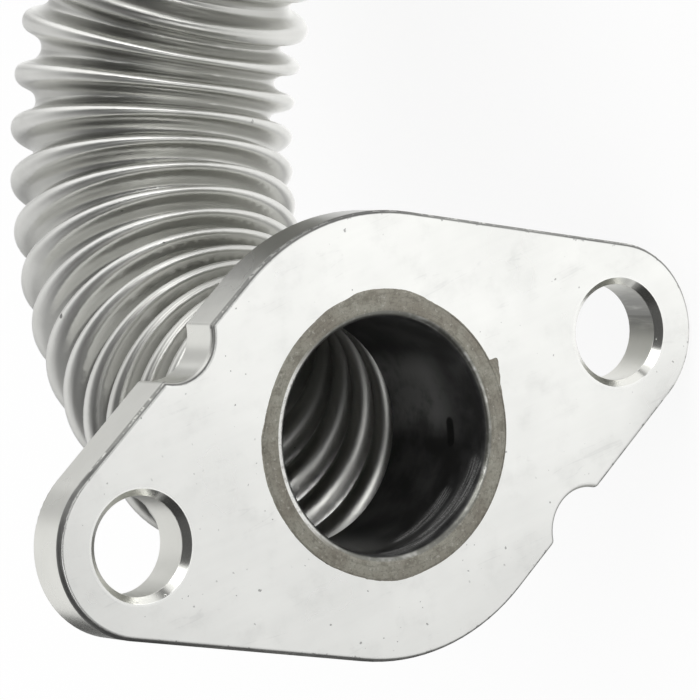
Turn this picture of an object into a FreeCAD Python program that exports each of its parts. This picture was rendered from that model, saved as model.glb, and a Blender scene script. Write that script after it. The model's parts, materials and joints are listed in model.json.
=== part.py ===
import FreeCAD, Part
import math
import os
from FreeCAD import Vector

# A flexible exhaust gas recirculation pipe, in millimetres.
# Two oval two-bolt flanges are brazed to short sleeves, and a bent bellows joins the sleeves.
# The origin is the centre of the inlet bore, on the inlet flange's mating face.
# The pipe leaves the inlet along +Y, its bend turns towards +X, and +Z is up.
# It lies as it rests on a bench, the inlet flange on the end of its lower lobe
# and the outlet flange on one of its straight sides.

# Flange plates
BOLT_SPACING = 58.0
BOLT_HOLE = 9.5
BOLT_FRONT_CHAMFER = 0.7
BOLT_BACK_CHAMFER = 0.2
PLATE_THICKNESS = 5.0
CENTRE_LOBE_RADIUS = 21.8
END_LOBE_RADIUS = 8.9
FRONT_EDGE_ROUND = 0.5
BACK_EDGE_ROUND = 0.3

# Locating notches, one in each of two opposite straight sides
NOTCH_RADIUS = 4.2
NOTCH_DEPTH = 2.1
NOTCH_ALONG = 9.5
NOTCH_CORNER_ROUND = 0.6

# Sleeves and their brazing
BORE = 23.0
SLEEVE_WALL = 2.2
SLEEVE_LENGTH = 17.0
MOUTH_ROUND = 0.9
RIM_CHAMFER = 0.2
SPIGOT_WALL = 1.5
SPIGOT_LENGTH = 6.0
BRAZE_GAP = 0.15
BRAZE_FILLET = 1.2

# Bellows
BELLOWS_WALL = 0.3
CREST_DIAMETER = 29.6
ROOT_DIAMETER = 24.7
CREST_PITCH = 4.76
CREST_COUNT = 16
CREST_BLUNTNESS = 0.04
END_FLANK = 1.8
WELD_LEG = 0.8
BEND_RADIUS = 33.7
BEND_TURN = math.radians(107.0)

# Direction in which the bend runs, seen on the inlet's face, from the lower lobe
BEND_DIRECTION = math.radians(64.5)

# Modelling
POLES_PER_CREST = 10
TOLERANCE = 0.01

bore_radius = BORE / 2
sleeve_radius = bore_radius + SLEEVE_WALL
seat_radius = sleeve_radius + BRAZE_GAP
spigot_radius = bore_radius + SPIGOT_WALL
cuff_radius = spigot_radius + BELLOWS_WALL
shoulder = SLEEVE_LENGTH - SPIGOT_LENGTH
half_spacing = BOLT_SPACING / 2

corrugated_length = (CREST_COUNT - 1) * CREST_PITCH + 2 * END_FLANK
bend_length = BEND_RADIUS * BEND_TURN
pipe_length = 2 * SLEEVE_LENGTH + corrugated_length
outlet_run = pipe_length - SLEEVE_LENGTH - bend_length
reach_across = BEND_RADIUS * (1 - math.cos(BEND_TURN)) + outlet_run * math.sin(BEND_TURN)

# Poles of the bellows' profile in each plain cuff, and in the last flank beside it
cuff_poles = int(SPIGOT_LENGTH * POLES_PER_CREST / CREST_PITCH)
flank_poles = POLES_PER_CREST * 3 // 10


def settle_angle():
    """Angle by which the bend dips below level once both flanges touch the bench."""
    def outlet_gap(dip):
        inlet_height = half_spacing * math.sin(BEND_DIRECTION + dip) + END_LOBE_RADIUS
        lean = math.asin(math.sin(BEND_TURN) * math.sin(dip))
        flat_reach = CENTRE_LOBE_RADIUS - FRONT_EDGE_ROUND
        rounded_edge = FRONT_EDGE_ROUND * (1 - math.sin(lean))
        outlet_height = flat_reach * math.cos(lean) + rounded_edge
        return inlet_height - reach_across * math.sin(dip) - outlet_height

    low, high = 0.0, math.pi / 2
    for _ in range(60):
        middle = (low + high) / 2
        if outlet_gap(middle) > 0:
            low = middle
        else:
            high = middle
    return low


dip = settle_angle()
UP = Vector(0, 0, 1)
INLET_AXIS = Vector(0, 1, 0)
ACROSS = Vector(math.cos(dip), 0, -math.sin(dip))


def centreline(distance):
    """Centre, direction and inward normal of the pipe, a distance along from the inlet face."""
    turned = min(max(distance - SLEEVE_LENGTH, 0) / BEND_RADIUS, BEND_TURN)
    direction = INLET_AXIS * math.cos(turned) + ACROSS * math.sin(turned)
    inward = ACROSS * math.cos(turned) - INLET_AXIS * math.sin(turned)
    bend_centre = INLET_AXIS * SLEEVE_LENGTH + ACROSS * BEND_RADIUS
    centre = bend_centre - inward * BEND_RADIUS
    if distance < SLEEVE_LENGTH:
        centre = INLET_AXIS * distance
    straight = distance - SLEEVE_LENGTH - bend_length
    if straight > 0:
        centre = centre + direction * straight
    return centre, direction, inward


def axes_placement(origin, x_axis, z_axis):
    """Placement with the given origin and directions of local x and z."""
    y_axis = z_axis.cross(x_axis)
    matrix = FreeCAD.Matrix(
        x_axis.x, y_axis.x, z_axis.x, origin.x,
        x_axis.y, y_axis.y, z_axis.y, origin.y,
        x_axis.z, y_axis.z, z_axis.z, origin.z,
        0, 0, 0, 1)
    return FreeCAD.Placement(matrix)


def side_normal(x_sign, y_sign):
    """Outward normal of one straight side of the plate, in the plate's own frame."""
    along = (CENTRE_LOBE_RADIUS - END_LOBE_RADIUS) / half_spacing
    return Vector(x_sign * along, y_sign * math.sqrt(1 - along ** 2), 0)


def inlet_placement():
    """Local x runs to the lower lobe, and local z out of the mating face."""
    lobe_angle = BEND_DIRECTION + dip
    lobe = Vector(math.cos(lobe_angle), 0, -math.sin(lobe_angle))
    return axes_placement(Vector(0, 0, 0), lobe, INLET_AXIS * -1)


def outlet_placement():
    """The notched side towards local -x, +y lies on the bench, on the outside of the bend."""
    face_centre, outward, _ = centreline(pipe_length)
    down = (outward * UP.dot(outward) - UP).normalize()
    outside = outward.cross(down)
    side = side_normal(-1, 1)
    lobe = down * side.x - outside * side.y
    return axes_placement(face_centre, lobe, outward)


def plate_outline():
    """Closed outline of the plate: a round centre, two end lobes and their tangent sides."""
    lobes = [Vector(half_spacing, 0, 0), Vector(0, 0, 0), Vector(-half_spacing, 0, 0)]
    radii = [END_LOBE_RADIUS, CENTRE_LOBE_RADIUS, END_LOBE_RADIUS]

    def corner(lobe, x_sign, y_sign):
        return lobes[lobe] + side_normal(x_sign, y_sign) * radii[lobe]

    end_reach = Vector(half_spacing + END_LOBE_RADIUS, 0, 0)
    top = Vector(0, CENTRE_LOBE_RADIUS, 0)
    edges = [
        Part.Arc(corner(0, 1, -1), end_reach, corner(0, 1, 1)).toShape(),
        Part.makeLine(corner(0, 1, 1), corner(1, 1, 1)),
        Part.Arc(corner(1, 1, 1), top, corner(1, -1, 1)).toShape(),
        Part.makeLine(corner(1, -1, 1), corner(2, -1, 1)),
        Part.Arc(corner(2, -1, 1), end_reach * -1, corner(2, -1, -1)).toShape(),
        Part.makeLine(corner(2, -1, -1), corner(1, -1, -1)),
        Part.Arc(corner(1, -1, -1), top * -1, corner(1, 1, -1)).toShape(),
        Part.makeLine(corner(1, 1, -1), corner(0, 1, -1)),
    ]
    return Part.Wire(edges)


def notch_cutter(x_sign, y_sign):
    """Round cutter for the notch in one straight side."""
    normal = side_normal(x_sign, y_sign)
    along = Vector(x_sign * abs(normal.y), -y_sign * abs(normal.x), 0)
    offset = CENTRE_LOBE_RADIUS + NOTCH_RADIUS - NOTCH_DEPTH
    centre = normal * offset + along * NOTCH_ALONG
    base = centre - Vector(0, 0, PLATE_THICKNESS)
    return Part.makeCylinder(NOTCH_RADIUS, PLATE_THICKNESS, base)


def notch_corners(plate, cutters):
    """Upright edges where a notch's wall meets the straight side."""
    corners = []
    for edge in plate.Edges:
        if edge.BoundBox.ZLength < TOLERANCE or edge.BoundBox.XLength > TOLERANCE:
            continue
        for cutter in cutters:
            offset = edge.CenterOfMass - cutter.CenterOfMass
            if abs(math.hypot(offset.x, offset.y) - NOTCH_RADIUS) < TOLERANCE:
                corners.append(edge)
    return corners


def rim_edges(plate, height):
    """Edges of the outline in one face of the plate."""
    return [e for e in plate.Edges
            if abs(e.BoundBox.ZMin - height) < TOLERANCE
            and abs(e.BoundBox.ZMax - height) < TOLERANCE]


def flange_plate():
    """The plate with its notches, rounded edges, bolt holes and seat for the sleeve."""
    down = Vector(0, 0, -PLATE_THICKNESS)
    plate = Part.Face(plate_outline()).extrude(down)
    cutters = [notch_cutter(-1, 1), notch_cutter(1, -1)]
    for cutter in cutters:
        plate = plate.cut(cutter)
    plate = plate.makeFillet(NOTCH_CORNER_ROUND, notch_corners(plate, cutters))
    plate = plate.makeFillet(FRONT_EDGE_ROUND, rim_edges(plate, 0.0))
    plate = plate.makeFillet(BACK_EDGE_ROUND, rim_edges(plate, -PLATE_THICKNESS))
    for x in (-half_spacing, half_spacing):
        plate = plate.cut(bolt_hole(x))
    return plate.cut(Part.makeCylinder(seat_radius, PLATE_THICKNESS, down))


def bolt_hole(x):
    """Cutter for one bolt hole, with a wide chamfer in front and an edge break behind."""
    radius = BOLT_HOLE / 2
    points = [
        Vector(0, 0, 0),
        Vector(radius + BOLT_FRONT_CHAMFER, 0, 0),
        Vector(radius, 0, -BOLT_FRONT_CHAMFER),
        Vector(radius, 0, BOLT_BACK_CHAMFER - PLATE_THICKNESS),
        Vector(radius + BOLT_BACK_CHAMFER, 0, -PLATE_THICKNESS),
        Vector(0, 0, -PLATE_THICKNESS),
    ]
    cutter = turned_solid(points)
    cutter.translate(Vector(x, 0, 0))
    return cutter


def turned_solid(points):
    """Solid turned about local z from a closed outline of points."""
    outline = Part.makePolygon(points + [points[0]])
    return Part.Face(outline).revolve(Vector(0, 0, 0), Vector(0, 0, 1), 360)


def sleeve():
    """Thick sleeve, flush with the mating face, with a turned-down spigot at its far end."""
    mouth_edge = Vector(bore_radius + MOUTH_ROUND, 0, 0)
    mouth_bore = Vector(bore_radius, 0, -MOUTH_ROUND)
    bulge = MOUTH_ROUND * (1 - math.sqrt(0.5))
    mouth_middle = Vector(bore_radius + bulge, 0, -bulge)
    points = [
        mouth_bore,
        Vector(bore_radius, 0, RIM_CHAMFER - SLEEVE_LENGTH),
        Vector(bore_radius + RIM_CHAMFER, 0, -SLEEVE_LENGTH),
        Vector(spigot_radius - RIM_CHAMFER, 0, -SLEEVE_LENGTH),
        Vector(spigot_radius, 0, RIM_CHAMFER - SLEEVE_LENGTH),
        Vector(spigot_radius, 0, -shoulder),
        Vector(sleeve_radius, 0, -shoulder),
        Vector(sleeve_radius, 0, 0),
        mouth_edge,
    ]
    edges = [Part.makeLine(a, b) for a, b in zip(points, points[1:])]
    edges.append(Part.Arc(mouth_edge, mouth_middle, mouth_bore).toShape())
    profile = Part.Face(Part.Wire(edges))
    return profile.revolve(Vector(0, 0, 0), Vector(0, 0, 1), 360)


def braze_ring():
    """Brazing metal: a thin film round the sleeve in the plate, and a hollow fillet behind it."""
    back = -PLATE_THICKNESS
    foot = Vector(sleeve_radius + BRAZE_FILLET, 0, back)
    tip = Vector(sleeve_radius, 0, back - BRAZE_FILLET)
    hollow = BRAZE_FILLET * (1 - math.sqrt(0.5))
    middle = Vector(sleeve_radius + hollow, 0, back - hollow)
    points = [
        tip,
        Vector(sleeve_radius, 0, 0),
        Vector(seat_radius, 0, 0),
        Vector(seat_radius, 0, back),
        foot,
    ]
    edges = [Part.makeLine(a, b) for a, b in zip(points, points[1:])]
    edges.append(Part.Arc(foot, middle, tip).toShape())
    profile = Part.Face(Part.Wire(edges))
    return profile.revolve(Vector(0, 0, 0), Vector(0, 0, 1), 360)


def cuff_weld():
    """Round weld bead between the sleeve's shoulder and the bellows' cuff."""
    shoulder_edge = Vector(sleeve_radius, 0, -shoulder)
    cuff_edge = Vector(cuff_radius, 0, -shoulder - WELD_LEG)
    root = Vector(cuff_radius, 0, -shoulder)
    middle = (shoulder_edge + cuff_edge) / 2
    outward = Vector(WELD_LEG, 0, -(sleeve_radius - cuff_radius)).normalize()
    crown = middle + outward * (WELD_LEG / 4)
    edges = [
        Part.makeLine(root, shoulder_edge),
        Part.Arc(shoulder_edge, crown, cuff_edge).toShape(),
        Part.makeLine(cuff_edge, root),
    ]
    profile = Part.Face(Part.Wire(edges))
    return profile.revolve(Vector(0, 0, 0), Vector(0, 0, 1), 360)


def smoothing(harmonic):
    """Share of a wave's height that a cubic spline keeps of the wave of its poles."""
    return (2 + math.cos(2 * math.pi * harmonic / POLES_PER_CREST)) / 3


def wave_pole(turn, wall):
    """Distance from the first crest, and radius, of one pole of the corrugated profile.

    The profile is a wave with blunt crests and roots and steep flanks between them.
    A wall above zero gives the pole of the inner surface, that far below the outer one.
    """
    angle = 2 * math.pi * turn
    mean = (CREST_DIAMETER + ROOT_DIAMETER) / 4
    height = (CREST_DIAMETER - ROOT_DIAMETER) / 4
    along = CREST_PITCH * (turn + CREST_BLUNTNESS / smoothing(2) * math.sin(2 * angle))
    radius = mean + height / smoothing(1) * math.cos(angle)
    slope_along = CREST_PITCH * (1 + 4 * math.pi * CREST_BLUNTNESS * math.cos(2 * angle))
    slope_radius = -2 * math.pi * height * math.sin(angle)
    length = math.hypot(slope_along, slope_radius)
    return along + wall * slope_radius / length, radius - wall * slope_along / length


def profile_poles(wall):
    """Poles of one surface's profile, as (distance from the inlet face, radius)."""
    first_crest = SLEEVE_LENGTH + END_FLANK
    last_crest_pole = (CREST_COUNT - 1) * POLES_PER_CREST
    cuff = cuff_radius - wall
    cuff_places = [shoulder + SPIGOT_LENGTH * i / cuff_poles for i in range(cuff_poles)]
    waves = []
    for i in range(-flank_poles, last_crest_pole + flank_poles + 1):
        along, radius = wave_pole(i / POLES_PER_CREST, wall)
        if i < 0 or i > last_crest_pole:
            radius = max(radius, cuff)
        waves.append((first_crest + along, radius))
    start = [(place, cuff) for place in cuff_places]
    end = [(pipe_length - place, cuff) for place in reversed(cuff_places)]
    return start + waves + end


def bent_surface(wall):
    """Surface made by carrying each pole of the profile round the centreline as a circle."""
    circle = Part.Circle(Vector(0, 0, 0), Vector(0, 0, 1), 1).toNurbs()
    ring = circle.getPoles()
    ring_weights = circle.getWeights()
    binormal = INLET_AXIS.cross(ACROSS)
    profile = profile_poles(wall)
    poles = []
    for unit in ring:
        row = []
        for distance, radius in profile:
            centre, _, inward = centreline(distance)
            row.append(centre + inward * (radius * unit.x) + binormal * (radius * unit.y))
        poles.append(row)
    degree = 3
    inner_knots = len(profile) - degree - 1
    lengthwise_knots = [float(i) for i in range(inner_knots + 2)]
    lengthwise_mults = [degree + 1] + [1] * inner_knots + [degree + 1]
    weights = [[w] * len(profile) for w in ring_weights]
    surface = Part.BSplineSurface()
    surface.buildFromPolesMultsKnots(
        poles, circle.getMultiplicities(), lengthwise_mults, circle.getKnots(),
        lengthwise_knots, circle.isPeriodic(), False, circle.Degree, degree, weights)
    return surface


def crest_bands(surface):
    """The surface as faces of one crest each, which meet at the roots."""
    u_start, u_end, v_start, v_end = surface.bounds()
    first_root = cuff_poles + flank_poles - 1 + POLES_PER_CREST // 2
    roots = [first_root + POLES_PER_CREST * i for i in range(CREST_COUNT - 1)]
    bands = []
    for start, end in zip([v_start] + roots, roots + [v_end]):
        band = surface.copy()
        band.segment(u_start, u_end, start, end)
        bands.append(band.toShape())
    return bands


def cuff_end(distance):
    """Flat ring that closes the bellows' wall at the end of a cuff."""
    centre, direction, _ = centreline(distance)
    radii = (cuff_radius, cuff_radius - BELLOWS_WALL)
    rims = [Part.Wire(Part.Circle(centre, direction, r).toShape()) for r in radii]
    return Part.makeFace(rims, "Part::FaceMakerBullseye")


def bellows():
    """Corrugated tube of even wall with a plain cuff at each end."""
    outer = crest_bands(bent_surface(0))
    inner = crest_bands(bent_surface(BELLOWS_WALL))
    ends = [cuff_end(shoulder), cuff_end(pipe_length - shoulder)]
    shell = Part.makeShell(outer + inner + ends)
    shell.sewShape()
    return Part.makeSolid(shell)


def placed(shape, placement):
    """Copy of a shape, moved from its own frame into the pipe's."""
    copy = shape.copy()
    copy.Placement = placement.multiply(copy.Placement)
    return copy


def build():
    """All pieces of the pipe by name."""
    end_pieces = {
        "flange": flange_plate(),
        "sleeve": sleeve(),
        "braze_ring": braze_ring(),
        "cuff_weld": cuff_weld(),
    }
    pieces = {"bellows": bellows()}
    for end, placement in (("inlet", inlet_placement()), ("outlet", outlet_placement())):
        for name, shape in end_pieces.items():
            pieces[f"{end}_{name}"] = placed(shape, placement)
    return pieces


os.makedirs("parts", exist_ok=True)
for piece_name, piece_shape in build().items():
    piece_shape.exportStep(f"parts/{piece_name}.step")
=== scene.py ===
import json
import math

import bmesh
import bpy
from mathutils import Matrix, Vector, noise


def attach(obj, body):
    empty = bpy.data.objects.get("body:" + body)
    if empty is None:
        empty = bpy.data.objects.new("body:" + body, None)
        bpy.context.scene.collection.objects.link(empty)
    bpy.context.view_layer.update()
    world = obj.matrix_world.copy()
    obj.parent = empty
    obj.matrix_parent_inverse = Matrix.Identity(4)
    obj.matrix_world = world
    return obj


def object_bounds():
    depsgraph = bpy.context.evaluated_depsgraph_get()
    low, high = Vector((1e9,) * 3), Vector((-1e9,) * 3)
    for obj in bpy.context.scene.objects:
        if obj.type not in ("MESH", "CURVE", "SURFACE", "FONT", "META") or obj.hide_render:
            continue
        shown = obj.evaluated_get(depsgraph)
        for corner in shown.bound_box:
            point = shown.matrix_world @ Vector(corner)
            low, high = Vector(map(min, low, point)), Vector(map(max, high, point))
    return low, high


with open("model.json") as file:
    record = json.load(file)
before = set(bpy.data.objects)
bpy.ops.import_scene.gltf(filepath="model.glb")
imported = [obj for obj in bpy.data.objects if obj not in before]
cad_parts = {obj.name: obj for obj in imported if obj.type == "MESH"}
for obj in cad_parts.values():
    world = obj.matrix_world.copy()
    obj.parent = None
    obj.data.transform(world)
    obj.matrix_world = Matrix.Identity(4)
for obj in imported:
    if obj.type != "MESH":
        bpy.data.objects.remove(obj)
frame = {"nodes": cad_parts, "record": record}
cad_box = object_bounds()
nodes = frame["nodes"]
mounts = {mount["name"]: mount for mount in frame["record"]["mounts"]}
MM = 0.001
WHITE = (1.0, 1.0, 1.0, 1.0)

# The photograph's camera, fitted to the flange's outline, its holes and the bellows.
# It looks down from the front with the pipe's +X upwards in the picture.
CAMERA_PLACE = Vector((51.908, -401.076, 255.051)) * MM
CAMERA_FORWARD = Vector((-0.09059, 0.84344, -0.52954))
CAMERA_UP = Vector((0.99052, 0.02116, -0.13574))
CAMERA_LENS = 255.195
CAMERA_SENSOR = 36

# Light on matt surfaces from the world, where 1 is white
AMBIENT = 0.95
# What reflections show of the studio, painted one over the other:
# azimuth (0 is the front, 90 is +X), elevation, inner and outer angle, and level
STUDIO = [
    (152, 18, 5, 17, 0.55),
    (-8, 44, 42, 82, 0.10),
    (-72, 22, 10, 32, 0.05),
    (-4, 25, 5, 16, 0.32),
    (26, 17, 3, 14, 4.80),
    (100, 12, 18, 48, 1.42),
    (70, -4, 4, 13, 0.25),
    (46, 52, 6, 22, 0.12),
    (53, 27, 9, 18, 2.30),
    (-20, 18, 8, 24, 1.70),
]
STUDIO_BACK = 0.95

# Square lamps that face the part: name, azimuth, elevation, side in m, and brightness per area.
# Their distance is in m.
LAMPS = [
    ("key_lamp", 53, 28, 0.24, 1.8),
    ("front_lamp", -16, 17, 0.20, 1.2),
]
LAMP_DISTANCE = 0.8
LAMP_TARGET = Vector((25, 20, 0)) * MM

# How far the floor reaches each way, in m, and the share of it that the camera sees as plain white.
# The rest is matt, which keeps the shadow.
FLOOR_REACH = 3.0
FLOOR_GLOW = 0.86
# Level of the floor in reflections, from a place beside the part: start, end, level at each (mm)
FLOOR_CENTRE = (20, -25)
FLOOR_FALL = (120, 360, 1.20, 0.45)
# Shares that darken it along an axis: axis, start, end, and the share at the start (mm)
FLOOR_SHARES = [
    ("Y", -320, -60, 0.35),
    ("X", -44, -12, 0.78),
    ("X", -190, -50, 0.25),
]
# Another share along X, which comes in behind the inlet's plate along Y
FLOOR_BEHIND = (-36, -12, 0.40)
FLOOR_BEHIND_FROM = (10, 28)

# Plate and tube sizes for the masks, in mm
CENTRE_LOBE_RADIUS = 21.8
END_LOBE_RADIUS = 8.9
HALF_SPACING = 29.0
HOLE_RADIUS = 4.75
CHAMFER_WIDTH = 0.7
PLATE_THICKNESS = 5.0
FRONT_EDGE_ROUND = 0.5
BORE_RADIUS = 11.5
MOUTH_ROUND = 0.9

# Run of the pipe, in mm and degrees
SLEEVE_LENGTH = 17.0
BEND_RADIUS = 33.7
ROOT_RADIUS = 12.35
CREST_RADIUS = 14.8
BEND_TURN = 107.0

# Where on the plate's outline the edge's painted shade is strongest and where it stays pale, from full to
# none (mm)
TIP_ALONG_LINE, TIP_ACROSS = (-31, -24), (-3, 5)
PALE_OFF_LINE = (-5.0, 3.0)
# Where along the bolt line the pale edge and the stained bolt hole come in, from none to full (mm)
PALE_ALONG_LINE = (-16.0, 6.0)
STAINED_SIDE = (0.0, 1.0)

# Reach of the painted shade, in mm: the side wall's rises with the distance from the bolt line, the
# plate's back has it up to a radius, and the bellows up to a distance from the inlet's face
SIDE_PAINTED_SHADE = (17.8, 23.2)
BACK_PAINTED_SHADE = (14.0, 25.0)
BELLOWS_PAINTED_SHADE = (28.0, 41.0)

# Outer edge of the brazing metal smeared on the inlet face: (angle, radius in mm).
# The angle runs from the lower lobe's side (0, -Z) to +X (90). A burr stands out near 20.
SMEAR_EDGE = [
    (0, 13.80), (7, 13.88), (12.6, 14.00), (17.2, 14.32), (19.9, 14.53), (22.3, 14.74),
    (23.3, 14.70), (24.0, 14.05), (24.6, 13.74), (28, 13.76), (48, 13.75), (57, 13.80),
    (62, 13.90), (68, 14.10), (75, 14.24), (96, 14.30), (103, 14.06), (111, 14.04),
    (122, 13.86), (134, 13.80), (148, 13.86), (158, 13.92), (165, 14.02), (173, 14.30),
    (190, 14.28), (199, 14.20), (211, 14.08), (224, 14.00), (235, 13.94), (244, 13.78),
    (249, 13.76), (251.5, 13.80), (253, 13.92), (260, 13.98), (268, 14.04), (284, 13.86),
    (300, 13.84), (320, 13.78), (340, 13.80),
]
SMEAR_INNER_RADIUS = 13.72
SMEAR_PROUD = 0.03
SMEAR_SINK = 0.02
SMEAR_SLOPE = 0.06
SMEAR_STEPS = 720

# Marks in the inlet's bore: (angle, depth in mm) at both ends, and half the width
BORE_STROKES = [
    ((-39.5, 4.75), (-71.5, 5.55), 0.72),
    ((-23.0, 1.5), (-34.0, 1.7), 0.80),
    ((-34.0, 1.7), (-51.0, 2.4), 1.00),
    ((-51.0, 2.4), (-66.0, 2.4), 0.90),
    ((-66.0, 2.1), (-92.0, 1.6), 0.95),
]
BORE_SPOT = ((-3.0, 6.45), (-11.5, 6.25), 0.60)
# Angles at which the bore's painted reflection, a grey patch, starts, is full, fades and ends, and the
# depths where it comes in
BORE_PAINTED_REFLECTION = (-14, 2, 22, 40)
BORE_PAINTED_REFLECTION_DEPTH = (4.5, 9.0)
# Angles from the lower lobe's side between which a painted highlight makes the sleeve's mouth bright
BRIGHT_MOUTH = (120, 150)
# The one dark speck that shows on the bellows, and where its edge starts and ends (mm)
BELLOWS_SPECK = Vector((12.70, 39.91, 12.24)) * MM
BELLOWS_SPECK_EDGE = (0.20, 0.32)
# Ripples in one turn of a weld bead
WELD_RIPPLES = 74.0


class Nodes:
    """A node tree, with a short call for each kind of node that is used here."""

    def __init__(self, tree):
        self.tree = tree

    def node(self, kind, **settings):
        made = self.tree.nodes.new(kind)
        for key, value in settings.items():
            setattr(made, key, value)
        return made

    def feed(self, socket, value):
        """Links a socket to another, or sets its plain value."""
        if isinstance(value, bpy.types.NodeSocket):
            self.tree.links.new(value, socket)
        else:
            socket.default_value = value

    def fed(self, kind, values, **settings):
        """A new node with its inputs fed, by name or by number."""
        made = self.node(kind, **settings)
        for key, value in values.items():
            self.feed(made.inputs[key], value)
        return made

    def maths(self, operation, *values, clamp=False):
        made = self.fed("ShaderNodeMath", dict(enumerate(values)), operation=operation, use_clamp=clamp)
        return made.outputs[0]

    def times(self, *factors):
        product = factors[0]
        for factor in factors[1:]:
            product = self.maths("MULTIPLY", product, factor)
        return product

    def inverse(self, share):
        return self.maths("SUBTRACT", 1.0, share)

    def apart(self, value, centre):
        """Distance of a value from another, without its sign."""
        return self.maths("ABSOLUTE", self.maths("SUBTRACT", value, centre))

    def vector(self, operation, *values):
        made = self.fed("ShaderNodeVectorMath", dict(enumerate(values)), operation=operation)
        return made.outputs["Value" if operation in ("DOT_PRODUCT", "LENGTH") else "Vector"]

    def scaled(self, vector, factor):
        return self.fed("ShaderNodeVectorMath", {0: vector, "Scale": factor}, operation="SCALE").outputs[0]

    def combined(self, first, second):
        return self.fed("ShaderNodeCombineXYZ", {0: first, 1: second}).outputs[0]

    def step(self, value, start, end, low=0.0, high=1.0):
        """Smooth step of a value from low at start to high at end."""
        values = {"Value": value, "From Min": start, "From Max": end, "To Min": low, "To Max": high}
        return self.fed("ShaderNodeMapRange", values, interpolation_type="SMOOTHSTEP").outputs["Result"]

    def fade(self, value, start, end):
        """1 up to start, then smoothly down to 0 at end."""
        return self.step(value, start, end, 1.0, 0.0)

    def band(self, value, start, full, fading, end):
        """1 from full to fading, and 0 outside start to end."""
        return self.times(self.step(value, start, full), self.fade(value, fading, end))

    def blend(self, share, first, second):
        """Colour between two colours."""
        return self.fed("ShaderNodeMix", {0: share, 6: first, 7: second}, data_type="RGBA").outputs[2]

    def between(self, share, first, second):
        """Number between two numbers."""
        return self.fed("ShaderNodeMix", {0: share, 2: first, 3: second}).outputs[0]

    def rays(self, first, *others):
        """1 for any of these kinds of ray, otherwise 0."""
        path = self.node("ShaderNodeLightPath")
        share = path.outputs[first]
        for kind in others:
            share = self.maths("MAXIMUM", share, path.outputs[kind])
        return share


class Shading(Nodes):
    """A metal's nodes, with the place on the part to build masks from."""

    def __init__(self, name):
        self.material = bpy.data.materials.new(name)
        self.material.use_nodes = True
        super().__init__(self.material.node_tree)
        self.shader = self.tree.nodes["Principled BSDF"]
        self.shader.inputs["Metallic"].default_value = 1.0
        self.place = self.node("ShaderNodeTexCoord").outputs["Object"]

    def squeezed(self, axis, share):
        """The place with its reach along an axis cut to a share, so that a noise runs along the axis."""
        reach = self.vector("DOT_PRODUCT", self.place, axis)
        return self.vector("ADD", self.place, self.scaled(axis, self.times(reach, share - 1.0)))

    def noise(self, scale, detail=2.0, rough=0.5, place=None, distortion=0.0):
        """Noise from 0 to 1, with the scale in features per metre of place."""
        values = {"Vector": self.place if place is None else place, "Scale": scale, "Detail": detail,
                  "Roughness": rough, "Distortion": distortion}
        return self.fed("ShaderNodeTexNoise", values).outputs["Fac"]

    def finish(self, colour, roughness, height, depth, strength):
        """Completes the material, with a bump of a depth in mm."""
        values = {"Height": height, "Distance": depth * MM, "Strength": strength}
        self.feed(self.shader.inputs["Base Color"], colour)
        self.feed(self.shader.inputs["Roughness"], roughness)
        self.feed(self.shader.inputs["Normal"], self.fed("ShaderNodeBump", values).outputs["Normal"])
        return self.material


def grey(level, yellow=0.0, red=0.0):
    """Neutral colour, a little yellower or redder where asked."""
    return (level * (1 + red), level, level * (1 - yellow), 1.0)


def radians(degrees):
    """Angles in radians, from a row of them in degrees."""
    return [math.radians(angle) for angle in degrees]


def end_frame(end):
    """Centre of an end's face, and its axes: down towards the lower lobe, across, and into the pipe."""
    seal = mounts[f"{end}_seal"]
    inward = -Vector(seal["axis"])
    side = Vector((0, 0, -1))
    side = (side - inward * side.dot(inward)).normalized()
    return Vector(seal["pos_m"]), side, side.cross(inward), inward


def bolt_centres(end):
    """Centres of an end's bolt holes, from the openings stated for their bolts."""
    centres = []
    for opening in frame["record"]["physics"]["openings"]:
        if opening["name"].startswith(end) and opening["name"].endswith("bolt_hole"):
            low, high = (Vector(corner) for corner in opening["box_m"])
            centres.append((low + high) / 2)
    return centres


def bend_frame():
    """Centre of the bend, the pipe's direction after it, and the axis that it turns about."""
    start, _, _, inward = end_frame("inlet")
    finish = -end_frame("outlet")[3]
    turn = math.radians(BEND_TURN)
    across = ((finish - inward * math.cos(turn)) / math.sin(turn)).normalized()
    return start + (inward * SLEEVE_LENGTH + across * BEND_RADIUS) * MM, finish, inward.cross(across)


def pipe_direction(s):
    """Direction of the pipe's centreline beside the place: round the bend, then straight."""
    bend_centre, finish, hinge = bend_frame()
    spoke = s.vector("SUBTRACT", s.place, bend_centre)
    round_bend = s.vector("NORMALIZE", s.vector("CROSS_PRODUCT", hinge, spoke))
    beyond = s.step(s.vector("DOT_PRODUCT", spoke, finish), 0.0, 0.1 * MM)
    return s.blend(beyond, round_bend, tuple(finish) + (1.0,))


def pipe_offset(s, direction):
    """Offset of the place from the pipe's centreline beside it, in mm."""
    bend_centre, _, hinge = bend_frame()
    spoke = s.vector("SUBTRACT", s.place, bend_centre)
    outward = s.vector("CROSS_PRODUCT", direction, hinge * BEND_RADIUS * MM)
    spoke = s.vector("SUBTRACT", spoke, outward)
    along = s.scaled(direction, s.vector("DOT_PRODUCT", spoke, direction))
    return s.vector("DIVIDE", s.vector("SUBTRACT", spoke, along), (MM, MM, MM))


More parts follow.
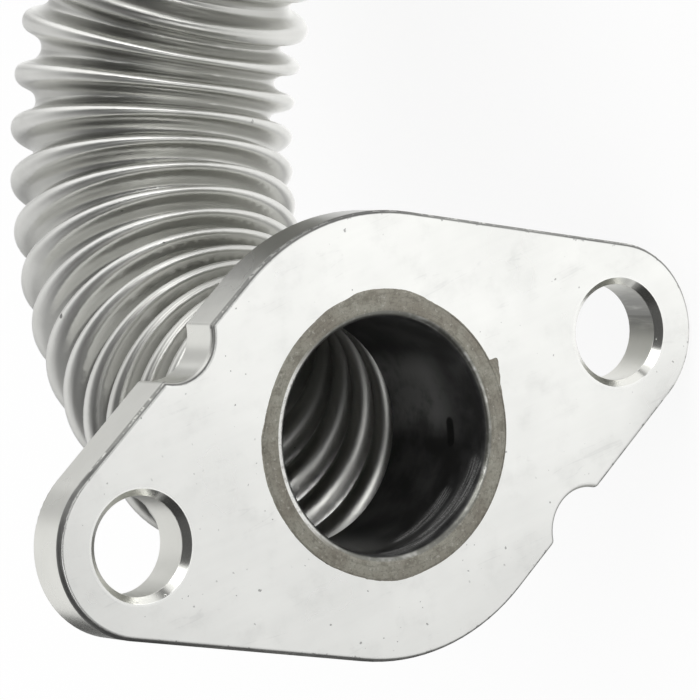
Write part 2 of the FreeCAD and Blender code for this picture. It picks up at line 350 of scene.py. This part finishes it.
class TubeEnd:
    """Radius, depth and angle about one end's axis, for a material's masks, in mm and radians."""

    def __init__(self, shading, end):
        self.s = shading
        centre, side, across, inward = end_frame(end)
        self.inward = inward
        self.offset = shading.vector("SUBTRACT", shading.place, centre)
        self.depth = self.reach(inward)
        self.along_across = self.reach(across)
        along_side = self.reach(side)
        self.radius = self.length(along_side, self.along_across)
        self.angle = shading.maths("ARCTAN2", self.along_across, along_side)

    def reach(self, direction):
        """Distance of the place from the face's centre along a direction, in mm."""
        return self.s.vector("DOT_PRODUCT", self.offset, direction / MM)

    def length(self, first, second):
        square = self.s.times(first, first)
        return self.s.maths("SQRT", self.s.maths("MULTIPLY_ADD", second, second, square))

    def stroke(self, start, end, half_width, softness):
        """Mask of a straight mark on the bore, between two places of (angle in degrees, depth)."""
        s = self.s
        ends = [Vector((math.radians(angle) * BORE_RADIUS, depth)) for angle, depth in (start, end)]
        run = ends[1] - ends[0]
        arc = s.times(self.angle, BORE_RADIUS)
        from_start = (s.maths("SUBTRACT", arc, ends[0].x), s.maths("SUBTRACT", self.depth, ends[0].y))
        share = s.times(from_start[0], run.x / run.length_squared)
        share = s.maths("MULTIPLY_ADD", from_start[1], run.y / run.length_squared, share, clamp=True)
        gap = [s.maths("MULTIPLY_ADD", share, -step, part) for step, part in zip(run, from_start)]
        return s.fade(self.length(*gap), half_width - softness, half_width + softness)


class PlateEnd(TubeEnd):
    """Adds the bolt line, and distances from it, from the outline and from the bolt holes, in mm."""

    def __init__(self, shading, end):
        super().__init__(shading, end)
        s = self.s
        first, second = bolt_centres(end)
        self.line = (first - second).normalized()
        self.along_line = self.reach(self.line)
        self.off_line = self.reach(self.line.cross(self.inward))
        along = s.maths("ABSOLUTE", self.along_line)
        off = s.maths("ABSOLUTE", self.off_line)
        taper = (CENTRE_LOBE_RADIUS - END_LOBE_RADIUS) / HALF_SPACING
        slope = taper / math.sqrt(1 - taper * taper)
        foot = s.maths("MULTIPLY_ADD", off, -slope, along)
        foot = s.maths("MINIMUM", s.maths("MAXIMUM", foot, 0.0), HALF_SPACING)
        gap = self.length(off, s.maths("SUBTRACT", along, foot))
        self.outline = s.maths("ADD", gap, s.maths("MULTIPLY_ADD", foot, taper, -CENTRE_LOBE_RADIUS))
        self.hole = self.length(off, s.maths("SUBTRACT", along, HALF_SPACING))


def ground_face(s, plate, clouds, smudges, streaks, pits):
    """Colour of the ground face: pale and cloudy, with thin scratches, dark pits and a painted shading
    gradient along the bolt line.
    """
    # Painted shade: one lobe is drawn a little brighter than the other, by a gradient along the bolt line
    glow = s.maths("MULTIPLY_ADD", plate.along_line, -0.0010, 0.85)
    glow = s.maths("MULTIPLY_ADD", s.step(clouds, 0.30, 0.70), 0.08, s.maths("SUBTRACT", glow, 0.04))
    glow = s.maths("MULTIPLY_ADD", s.step(smudges, 0.48, 0.78), -0.07, glow)
    glow = s.maths("MULTIPLY_ADD", streaks, 0.06, s.maths("SUBTRACT", glow, 0.03))
    glow = s.maths("MINIMUM", glow, 0.97)
    tints = {number: s.times(glow, share) for number, share in enumerate((0.996, 1.0, 0.970))}
    colour = s.fed("ShaderNodeCombineColor", tints).outputs[0]

    long_scratches = s.noise(380, 2, 0.5, s.squeezed(plate.line, 0.10), distortion=0.4)
    hairlines = s.times(s.fade(s.apart(long_scratches, 0.5), 0.0, 0.010), s.step(smudges, 0.50, 0.62))
    colour = s.blend(s.times(hairlines, 0.16), colour, grey(0.50))
    return s.blend(s.times(pits, 0.75), colour, grey(0.28, 0.02))


def wall_with_painted_shade(s, plate, clouds, smudges):
    """Colour of the side walls and the back, with warm-tinted painted shade at the waist and round the
    brazed joint.
    """
    wall = s.blend(smudges, grey(0.68, 0.055), grey(0.78, 0.05))
    waist = s.maths("MULTIPLY_ADD", smudges, 3.0, s.maths("ABSOLUTE", plate.off_line))
    # Painted shade on the side walls, darker away from the bolt line
    wall = s.blend(s.step(waist, *SIDE_PAINTED_SHADE), wall, grey(0.36, 0.05))
    # Painted shade on the plate's back, round the brazed joint
    halo = s.maths("MULTIPLY_ADD", s.maths("SUBTRACT", clouds, 0.5), 9.0, plate.radius)
    on_back = s.step(plate.depth, PLATE_THICKNESS - 0.20, PLATE_THICKNESS - 0.05)
    return s.blend(s.times(s.step(halo, *BACK_PAINTED_SHADE, 0.85, 0.0), on_back), wall, grey(0.20, 0.14, 0.03))


def stained_hole(s, plate):
    """Mask of the grey staining in the wall of one bolt hole."""
    across = s.fade(s.apart(plate.off_line, 0.6), 0.8, 3.4)
    this_hole = s.step(plate.along_line, *STAINED_SIDE)
    runs = s.noise(900, 3, 0.7, s.squeezed(plate.inward, 0.15))
    return s.times(across, this_hole, s.step(runs, 0.30, 0.60, 0.45, 1.0))


def plate_steel(end):
    """Ground and tumbled flange steel: cloudy, with fine scratches, pits and a dark, nicked edge; painted
    shade darkens the edge, the walls and one side of the face.
    """
    s = Shading(f"{end}_plate_steel")
    plate = PlateEnd(s, end)
    clouds = s.noise(75, 3, 0.55)
    smudges = s.noise(260, 4, 0.62)
    fine = s.noise(1500, 2, 0.6)
    streaks = s.noise(700, 3, 0.6, s.squeezed(plate.line, 0.12))
    pits = s.times(s.step(s.noise(1900, 1, 0.4), 0.725, 0.755), s.step(s.noise(150, 1), 0.47, 0.58))

    # The face, the walls and the turned and drilled bolt holes
    colour = s.blend(s.fade(plate.depth, 0.02, 0.10), wall_with_painted_shade(s, plate, clouds, smudges),
                     ground_face(s, plate, clouds, smudges, streaks, pits))
    chamfer_edge = HOLE_RADIUS + CHAMFER_WIDTH
    turned = s.fade(plate.hole, chamfer_edge + 0.10, chamfer_edge + 0.25)
    drilled = s.fade(plate.hole, HOLE_RADIUS + 0.02, HOLE_RADIUS + 0.05)
    colour = s.blend(s.times(drilled, stained_hole(s, plate)), colour, grey(0.30, 0.04))

    # Rounded front edge: painted shade darkens the round and draws a dark line along it. Both are
    # stronger, and the line wider, near the tip of one lobe, and nearly gone along the pale side.
    pale = s.times(s.fade(plate.off_line, *PALE_OFF_LINE), s.step(plate.along_line, *PALE_ALONG_LINE))
    dark_share = s.times(s.inverse(turned), s.maths("MULTIPLY_ADD", pale, -0.85, 1.0))
    lobe_tip = s.times(s.fade(plate.along_line, *TIP_ALONG_LINE), s.fade(plate.along_across, *TIP_ACROSS))
    rounding = s.band(plate.depth, 0.01, 0.06, FRONT_EDGE_ROUND - 0.08, FRONT_EDGE_ROUND + 0.10)
    rounding = s.times(rounding, dark_share)
    painted_round_shade = s.times(rounding, s.maths("MULTIPLY_ADD", lobe_tip, 0.30, 0.36))
    colour = s.blend(painted_round_shade, colour, grey(0.34, 0.03))
    width = s.maths("MULTIPLY_ADD", lobe_tip, 0.34, 0.08)
    within = s.fade(s.maths("SUBTRACT", plate.depth, width), 0.0, 0.12)
    broken = s.step(s.noise(130, 4, 0.7), 0.36, 0.60, 0.72, 1.0)
    edge = s.times(s.step(plate.depth, 0.01, 0.06), within, dark_share, broken)

    # Nicks from the edge into the face
    ragged = s.maths("ADD", plate.outline, s.times(s.noise(1100, 3, 0.7), 1.7))
    nicks = s.times(s.step(ragged, 0.58, 0.74), s.fade(plate.depth, 0.3, 0.5))
    edge = s.maths("MAXIMUM", edge, s.times(nicks, 0.7))
    colour = s.blend(s.times(edge, 0.85), colour, grey(0.12, 0.02))

    roughness = s.maths("MULTIPLY_ADD", clouds, 0.14, 0.22)
    for mask, share in ((edge, 0.25), (rounding, 0.12), (turned, -0.12), (drilled, 0.26)):
        roughness = s.maths("MULTIPLY_ADD", mask, share, roughness)
    ground = s.times(streaks, s.inverse(turned))
    height = s.times(smudges, 0.5)
    for relief, share in ((ground, 0.5), (fine, 0.12), (pits, -0.8), (edge, -0.8)):
        height = s.maths("MULTIPLY_ADD", relief, share, height)
    return s.finish(colour, roughness, height, 0.02, 0.6)


def bore_marks(s, tube):
    """Masks of the bore's dry scratches: where they lie, and how much of them shows."""
    marks = [tube.stroke(*mark, softness=0.55) for mark in BORE_STROKES]
    where = marks[0]
    for mark in marks[1:]:
        where = s.maths("MAXIMUM", where, mark)
    # Long streaks that run with the marks, and a very fine grain
    slanted = s.maths("MULTIPLY_ADD", tube.angle, 1.3, tube.depth)
    brushed = s.combined(s.times(tube.angle, BORE_RADIUS * 0.05), slanted)
    streaks = s.step(s.noise(5.0, 2, 0.6, brushed), 0.36, 0.60, 0.15, 1.0)
    broad = s.step(s.noise(1.6, 2, 0.5, brushed), 0.36, 0.60, 0.45, 1.0)
    grain = s.step(s.noise(7500, 2, 0.7), 0.40, 0.62, 0.35, 1.0)
    return where, s.times(streaks, broad, grain)


def sleeve_steel(end):
    """Turned sleeve: a brownish end ring, a bright thin mouth with a painted highlight on one side, and a
    scratched bore painted near-black as shade.
    """
    s = Shading(f"{end}_sleeve_steel")
    tube = TubeEnd(s, end)
    blotches = s.noise(230, 4, 0.6)
    fine = s.noise(2200, 3, 0.65)
    mouth_edge = BORE_RADIUS + MOUTH_ROUND
    inside = s.fade(tube.radius, mouth_edge - 0.06, mouth_edge)
    # Painted highlight: on the lit side the mouth's round is drawn bright, and wider, in place of the
    # ring's colour
    lit_side = s.step(s.maths("ABSOLUTE", tube.angle), *radians(BRIGHT_MOUTH))
    ring = s.times(s.fade(tube.depth, 0.02, 0.08), s.inverse(s.times(inside, lit_side)))
    mouth_depth = s.maths("MULTIPLY_ADD", lit_side, -0.28, tube.depth)
    deep = s.step(mouth_depth, MOUTH_ROUND * 0.22, MOUTH_ROUND * 0.50)

    mouth_wear_and_highlight = s.maths("MAXIMUM", lit_side, s.step(s.noise(330, 3, 0.7), 0.50, 0.68, 0.0, 0.45))
    mouth_colour = s.blend(mouth_wear_and_highlight, grey(0.20, 0.10), grey(0.74, 0.04))
    mouth_colour = s.blend(s.step(fine, 0.50, 0.66, 0.0, 0.6), mouth_colour, grey(0.30, 0.08))
    outer_colour = s.blend(blotches, grey(0.42, 0.05), grey(0.56, 0.03))

    # Bore painted near-black as shade, with a grey patch of painted reflection, dry scratches and one
    # near-black spot
    bore_colour = s.blend(s.step(blotches, 0.40, 0.70), grey(0.024), grey(0.070, 0.01))
    painted_bore_reflection = s.times(s.band(tube.angle, *radians(BORE_PAINTED_REFLECTION)), s.step(tube.depth, *BORE_PAINTED_REFLECTION_DEPTH),
                    s.step(blotches, 0.32, 0.55, 0.35, 1.0))
    bore_colour = s.blend(painted_bore_reflection, bore_colour, grey(0.20, 0.02))
    marks, shown = bore_marks(s, tube)
    bore_colour = s.blend(s.times(marks, shown), bore_colour, grey(0.50, 0.02))
    bore_colour = s.blend(tube.stroke(*BORE_SPOT, softness=0.15), bore_colour, grey(0.008))

    colour = s.blend(inside, outer_colour, s.blend(deep, mouth_colour, bore_colour))
    colour = s.blend(ring, colour, ring_metal(tube, blotches, fine))
    s.feed(s.shader.inputs["Metallic"], s.maths("MULTIPLY_ADD", s.times(inside, deep), -0.75, 1.0))
    roughness = s.maths("MULTIPLY_ADD", blotches, 0.20, 0.22)
    roughness = s.maths("MULTIPLY_ADD", ring, 0.16, roughness)
    roughness = s.maths("MULTIPLY_ADD", marks, 0.30, roughness)
    return s.finish(colour, roughness, s.maths("MULTIPLY_ADD", fine, 0.5, blotches), 0.02, 0.5)


def ring_metal(tube, blotches, fine):
    """Brownish grey of brazed steel, mottled, lightly speckled and faintly turned."""
    s = tube.s
    stains = s.step(s.noise(620, 3, 0.7), 0.50, 0.66)
    speckles = s.step(s.noise(3400, 3, 0.7), 0.50, 0.64)
    turning = s.noise(4.5, 3, 0.75, s.combined(tube.radius, tube.angle))
    colour = s.blend(s.step(blotches, 0.30, 0.68), grey(0.215, 0.16, 0.08), grey(0.34, 0.14, 0.02))
    colour = s.blend(s.times(stains, 0.55), colour, grey(0.155, 0.18, 0.08))
    colour = s.blend(s.times(speckles, 0.40), colour, grey(0.12, 0.14, 0.04))
    colour = s.blend(s.step(turning, 0.52, 0.66, 0.0, 0.42), colour, grey(0.13, 0.16, 0.06))
    return s.blend(s.times(s.step(fine, 0.57, 0.70), 0.60), colour, grey(0.46, 0.10, 0.02))


def braze_metal(name, end):
    """Dull brazing metal with a fine cast grain."""
    s = Shading(name)
    blotches = s.noise(230, 4, 0.6)
    fine = s.noise(2200, 3, 0.65)
    roughness = s.maths("MULTIPLY_ADD", blotches, 0.2, 0.36)
    height = s.maths("MULTIPLY_ADD", fine, 0.5, blotches)
    return s.finish(ring_metal(TubeEnd(s, end), blotches, fine), roughness, height, 0.03, 0.6)


def weld_metal(end):
    """Weld bead with ripples round the pipe and a light straw tint."""
    s = Shading(f"{end}_weld_metal")
    ripples = s.maths("SINE", s.times(TubeEnd(s, end).angle, WELD_RIPPLES))
    blotches = s.noise(500, 3, 0.6)
    colour = s.blend(s.step(blotches, 0.3, 0.7), grey(0.34, 0.10), grey(0.52, 0.03))
    roughness = s.maths("MULTIPLY_ADD", blotches, 0.2, 0.25)
    return s.finish(colour, roughness, s.maths("MULTIPLY_ADD", ripples, 0.5, blotches), 0.08, 0.8)


def bellows_steel():
    """Drawn stainless sheet: marks along the tube spread its reflections round each crest."""
    s = Shading("bellows_steel")
    clouds = s.noise(55, 3, 0.6)
    marks = s.noise(240, 3, 0.6)
    normal = s.node("ShaderNodeNewGeometry").outputs["Normal"]
    direction = pipe_direction(s)
    offset = pipe_offset(s, direction)
    inside = s.fade(s.vector("DOT_PRODUCT", offset, normal), -0.5, 0.5)

    colour = s.blend(s.step(clouds, 0.3, 0.7), grey(0.67, 0.04), grey(0.74, 0.035))
    colour = s.blend(s.times(s.step(marks, 0.45, 0.75), 0.35), colour, grey(0.61, 0.045))
    # Painted shade: grooves are darker than crests, and both are darker beside the inlet, on the outside
    painted_groove_shade = s.fade(s.vector("LENGTH", offset), ROOT_RADIUS + 0.2, CREST_RADIUS - 0.9)
    inlet = TubeEnd(s, "inlet")
    painted_inlet_shade = s.times(s.fade(inlet.length(inlet.radius, inlet.depth), *BELLOWS_PAINTED_SHADE), s.inverse(inside))
    colour = s.blend(s.times(painted_inlet_shade, 0.45), colour, grey(0.36, 0.07))
    painted_groove_shade_colour = s.blend(painted_inlet_shade, grey(0.45, 0.05), grey(0.14, 0.06))
    colour = s.blend(s.times(painted_groove_shade, 0.75), colour, painted_groove_shade_colour)
    # Painted sheen: brighter at a grazing angle
    grazing = s.node("ShaderNodeLayerWeight").outputs["Facing"]
    colour = s.blend(s.step(grazing, 0.60, 0.97, 0.0, 0.55), colour, grey(0.92, 0.02))
    # Sparse dark specks, and the one that the photo shows
    speck_edge = [radius * MM for radius in BELLOWS_SPECK_EDGE]
    from_speck = s.vector("LENGTH", s.vector("SUBTRACT", s.place, BELLOWS_SPECK))
    specks = s.times(s.step(s.noise(900, 1, 0.4), 0.77, 0.79), s.step(s.noise(90, 1), 0.56, 0.62))
    specks = s.maths("MAXIMUM", specks, s.fade(from_speck, *speck_edge))
    colour = s.blend(s.times(specks, 0.85), colour, grey(0.10, 0.03))

    s.feed(s.shader.inputs["Tangent"], s.vector("NORMALIZE", s.vector("CROSS_PRODUCT", direction, normal)))
    s.feed(s.shader.inputs["Anisotropic"], s.maths("MULTIPLY_ADD", inside, -0.7, 0.9))
    roughness = s.maths("MULTIPLY_ADD", marks, 0.05, 0.28)
    roughness = s.maths("MULTIPLY_ADD", inside, 0.06, roughness)
    return s.finish(colour, roughness, s.noise(5200, 2, 0.6), 0.005, 0.5)


def give(node_name, material):
    """Puts a finish on a carried-over CAD node."""
    for slot in nodes[node_name].material_slots:
        slot.link = "OBJECT"
        slot.material = material


def dress():
    """Finishes of the carried-over nodes."""
    for end in ("inlet", "outlet"):
        give(f"{end}_flange", plate_steel(end))
        give(f"{end}_sleeve", sleeve_steel(end))
        give(f"{end}_braze_ring", braze_metal(f"{end}_braze_metal", end))
        give(f"{end}_cuff_weld", weld_metal(end))
    give("bellows", bellows_steel())


def add_object(name, data):
    """A new object in the scene."""
    made = bpy.data.objects.new(name, data)
    bpy.context.scene.collection.objects.link(made)
    return made


def smear_radius(angle):
    """Radius of the smeared edge at an angle in degrees, with a fine raggedness."""
    points = SMEAR_EDGE + [(SMEAR_EDGE[0][0] + 360, SMEAR_EDGE[0][1])]
    (start, first), (end, second) = next(pair for pair in zip(points, points[1:]) if angle <= pair[1][0])
    share = (angle - start) / (end - start)
    share = share * share * (3 - 2 * share)
    ragged = noise.fractal(Vector((angle * 0.35, 0, 0)), 0.6, 2.0, 3)
    return first + (second - first) * share + 0.03 * ragged


def braze_smear():
    """Thin brazing metal smeared past the sleeve's rim on the inlet's face."""
    centre, side, across, inward = end_frame("inlet")
    mesh = bmesh.new()
    rings = [[], [], []]
    for i in range(SMEAR_STEPS):
        angle = 360 * i / SMEAR_STEPS
        outer = smear_radius(angle)
        direction = side * math.cos(math.radians(angle)) + across * math.sin(math.radians(angle))
        profile = ((SMEAR_INNER_RADIUS, SMEAR_PROUD), (outer - SMEAR_SLOPE, SMEAR_PROUD),
                   (outer, -SMEAR_SINK))
        for ring, (radius, height) in zip(rings, profile):
            ring.append(mesh.verts.new(centre + (direction * radius - inward * height) * MM))
    for first, second in zip(rings, rings[1:]):
        for i in range(SMEAR_STEPS):
            j = (i + 1) % SMEAR_STEPS
            mesh.faces.new((first[i], second[i], second[j], first[j]))
    bmesh.ops.recalc_face_normals(mesh, faces=mesh.faces)
    made = bpy.data.meshes.new("inlet_braze_smear")
    mesh.to_mesh(made)
    mesh.free()
    made.polygons.foreach_set("use_smooth", [True] * len(made.polygons))
    piece = add_object("inlet_braze_smear", made)
    piece.data.materials.append(braze_metal("smear_metal", "inlet"))
    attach(piece, "root")


def studio_direction(azimuth, elevation):
    """Direction towards a place in the studio, from its azimuth and elevation in degrees."""
    azimuth, elevation = radians((azimuth, elevation))
    flat = math.cos(elevation)
    return Vector((math.sin(azimuth) * flat, -math.cos(azimuth) * flat, math.sin(elevation)))


def make_world():
    """White to the camera, the painted studio to reflections, and a plain light to matt surfaces."""
    world = bpy.data.worlds.new("studio")
    bpy.context.scene.world = world
    world.use_nodes = True
    world.node_tree.nodes.clear()
    s = Nodes(world.node_tree)
    place = s.node("ShaderNodeTexCoord").outputs["Generated"]
    level = STUDIO_BACK
    for azimuth, elevation, inner, outer, patch in STUDIO:
        facing = s.vector("DOT_PRODUCT", place, studio_direction(azimuth, elevation))
        inner, outer = (math.cos(angle) for angle in radians((inner, outer)))
        level = s.between(s.step(facing, outer, inner), level, patch)
    strength = s.between(s.rays("Is Glossy Ray"), AMBIENT, level)
    strength = s.between(s.rays("Is Camera Ray", "Is Transmission Ray"), strength, 1.0)
    background = s.fed("ShaderNodeBackground", {"Color": WHITE, "Strength": strength})
    s.fed("ShaderNodeOutputWorld", {"Surface": background.outputs[0]})


def floor_level(s, low):
    """Level of the floor in reflections: bright near the part, darker away from it."""
    centre = Vector((*FLOOR_CENTRE, low / MM)) * MM
    offset = s.vector("SUBTRACT", s.node("ShaderNodeTexCoord").outputs["Object"], centre)
    along = s.fed("ShaderNodeSeparateXYZ", {0: offset}).outputs
    start, end, near, far = FLOOR_FALL
    level = s.step(s.vector("LENGTH", offset), start * MM, end * MM, near, far)
    for axis, start, end, share in FLOOR_SHARES:
        level = s.times(level, s.step(along[axis], start * MM, end * MM, share, 1.0))
    start, end, share = FLOOR_BEHIND
    under = s.step(along["X"], start * MM, end * MM, share, 1.0)
    behind = s.step(along["Y"], *(reach * MM for reach in FLOOR_BEHIND_FROM))
    return s.times(level, s.between(behind, 1.0, under))


def make_floor():
    """Pale floor that keeps a light shadow, and that reflections see bright near the part only."""
    low = cad_box[0].z
    mesh = bpy.data.meshes.new("floor")
    corners = [(x * FLOOR_REACH, y * FLOOR_REACH, low) for x, y in ((-1, -1), (1, -1), (1, 1), (-1, 1))]
    mesh.from_pydata(corners, [], [(0, 1, 2, 3)])
    floor = add_object("floor", mesh)
    material = bpy.data.materials.new("pale_floor")
    material.use_nodes = True
    material.node_tree.nodes.clear()
    s = Nodes(material.node_tree)
    mirrored = s.fed("ShaderNodeEmission", {"Color": WHITE, "Strength": floor_level(s, low)})
    matt = s.fed("ShaderNodeBsdfDiffuse", {"Color": WHITE})
    glow = s.fed("ShaderNodeEmission", {"Color": WHITE})
    seen = s.times(s.rays("Is Camera Ray", "Is Transmission Ray"), FLOOR_GLOW)
    shown = s.fed("ShaderNodeMixShader", {0: seen, 1: matt.outputs[0], 2: glow.outputs[0]})
    whole = {0: s.rays("Is Glossy Ray"), 1: shown.outputs[0], 2: mirrored.outputs[0]}
    s.fed("ShaderNodeOutputMaterial", {"Surface": s.fed("ShaderNodeMixShader", whole).outputs[0]})
    floor.data.materials.append(material)


def make_lights():
    """Two small soft lamps, above and in front."""
    for name, azimuth, elevation, size, radiance in LAMPS:
        data = bpy.data.lights.new(name, "AREA")
        data.shape = "SQUARE"
        data.size = size
        data.energy = radiance * math.pi * size * size
        lamp = add_object(name, data)
        direction = studio_direction(azimuth, elevation)
        lamp.location = LAMP_TARGET + direction * LAMP_DISTANCE
        lamp.rotation_euler = direction.to_track_quat("Z", "Y").to_euler()


def make_camera():
    """The photograph's camera."""
    data = bpy.data.cameras.new("photo_camera")
    data.lens = CAMERA_LENS
    data.sensor_width = CAMERA_SENSOR
    data.clip_start = 0.01
    camera = add_object("photo_camera", data)
    forward = CAMERA_FORWARD.normalized()
    right = forward.cross(CAMERA_UP).normalized()
    turn = Matrix((right, right.cross(forward), -forward)).transposed()
    camera.matrix_world = Matrix.Translation(CAMERA_PLACE) @ turn.to_4x4()
    bpy.context.scene.camera = camera


make_camera()
make_world()
make_floor()
make_lights()
dress()
braze_smear()

bpy.context.scene.view_settings.view_transform = "Standard"
